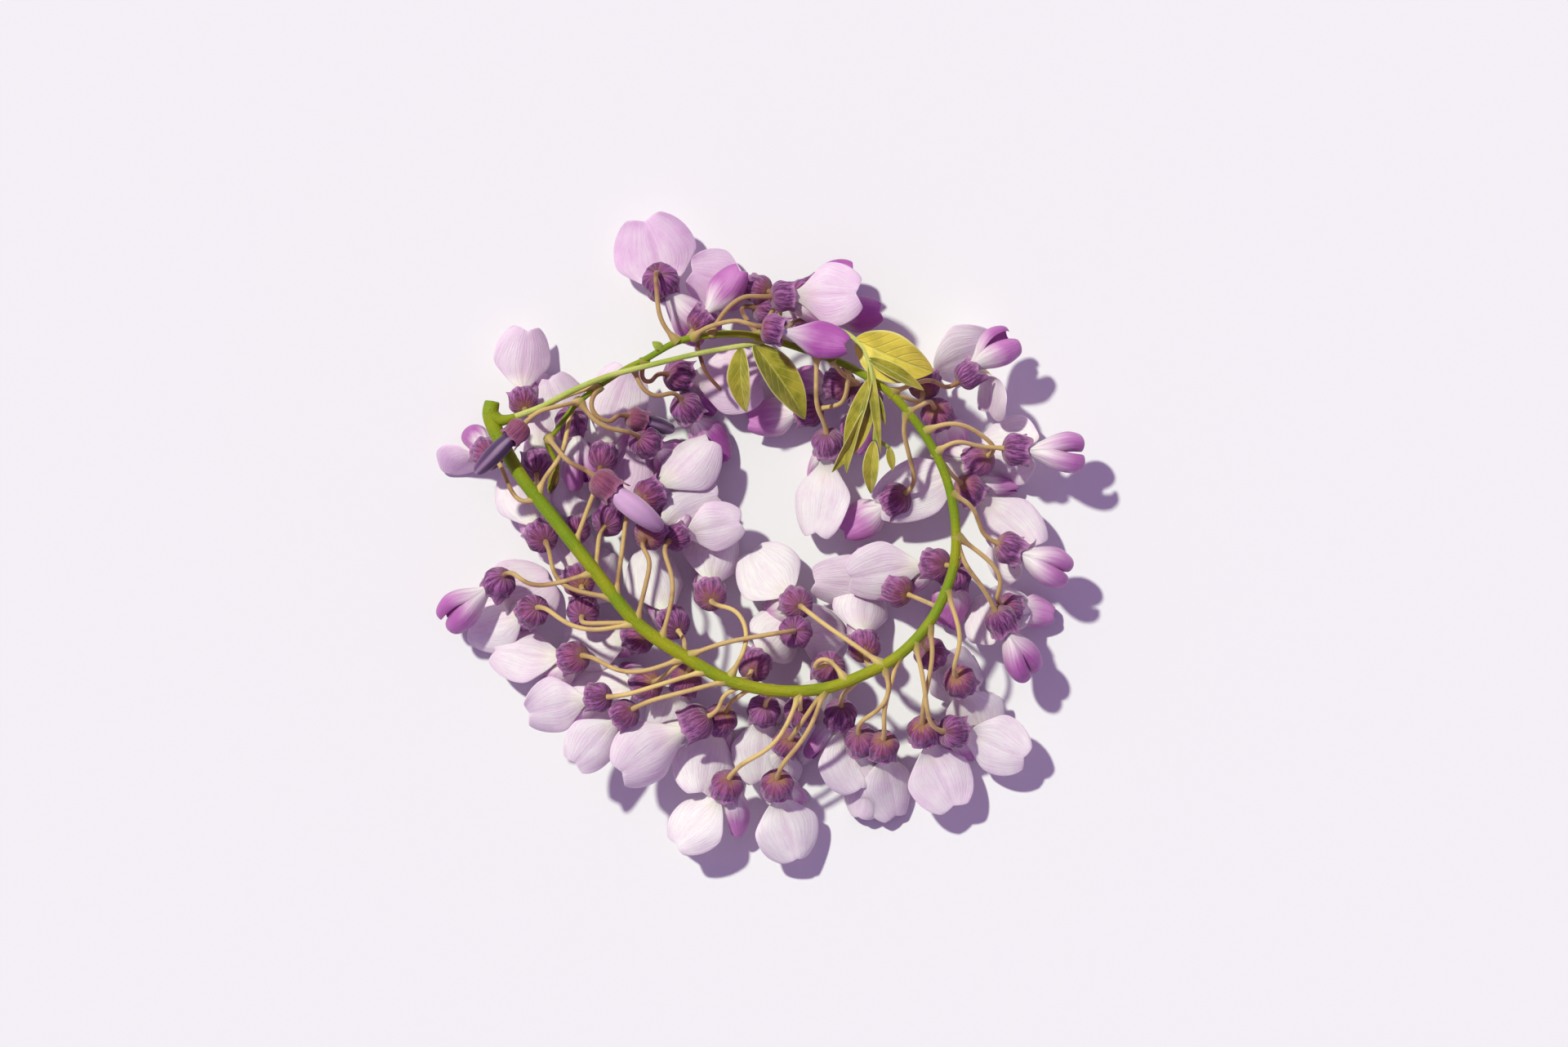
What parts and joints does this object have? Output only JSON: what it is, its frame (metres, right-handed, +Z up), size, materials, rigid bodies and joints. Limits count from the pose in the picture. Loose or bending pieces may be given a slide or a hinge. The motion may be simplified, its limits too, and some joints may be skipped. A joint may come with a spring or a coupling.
{
  "type": "wisteria wreath",
  "caption": "Cut wisteria flower stem curled into a ring and laid flat, with stalked violet and white pea-shaped flowers, buds, and a young silky compound leaf from the same heel.",
  "frame": {"origin": "middle of the wreath's box in plan, on the surface that it lies on", "axes": "+Z up from the surface that the wreath lies on, +Y to the top of the picture, where the stem's thin end and the leaf cross, and +X to its right"},
  "size_m": [0.159, 0.1582, 0.037],
  "materials": {
    "stem": "matt, green and downy",
    "leaf": "silky, yellow-green",
    "bloom": "matt petals",
    "lilac": "matt petals",
    "bud": "matt petals"
  },
  "bodies": {
    "root": {"bloom_left_1": "bloom", "bloom_left_10": "bloom", "bloom_left_11": "bloom", "bloom_left_12": "bloom", "bloom_left_13": "bud", "bloom_left_14": "bud", "bloom_left_16": "bloom", "bloom_left_17": "bloom", "bloom_left_18": "bloom", "bloom_left_2": "bloom", "bloom_left_3": "bloom", "bloom_left_5": "bloom", "bloom_left_6": "bloom", "bloom_left_8": "bloom", "bloom_left_9": "bloom", "bloom_low_1": "bloom", "bloom_low_11": "bloom", "bloom_low_12": "bloom", "bloom_low_13": "bloom", "bloom_low_14": "bloom", "bloom_low_15": "bloom", "bloom_low_16": "bloom", "bloom_low_17": "bloom", "bloom_low_18": "bloom", "bloom_low_19": "bloom", "bloom_low_2": "bloom", "bloom_low_20": "bloom", "bloom_low_3": "bloom", "bloom_low_4": "bloom", "bloom_low_5": "bloom", "bloom_low_6": "bloom", "bloom_low_7": "bloom", "bloom_low_9": "bloom", "bloom_right_1": "bloom", "bloom_right_10": "bloom", "bloom_right_11": "bloom", "bloom_right_12": "bloom", "bloom_right_13": "bloom", "bloom_right_14": "bloom", "bloom_right_2": "bloom", "bloom_right_3": "bloom", "bloom_right_4": "bloom", "bloom_right_5": "bloom", "bloom_right_6": "bloom", "bloom_right_7": "bloom", "bloom_right_9": "bloom", "bloom_top_1": "lilac", "bloom_top_2": "lilac", "bloom_top_3": "lilac", "bloom_top_4": "lilac", "bloom_top_5": "lilac", "bloom_top_6": "lilac", "bloom_top_7": "lilac", "bloom_top_8": "lilac", "bloom_top_9": "lilac", "leaf": "leaf", "stem": "stem"}
  },
  "joints": []
}
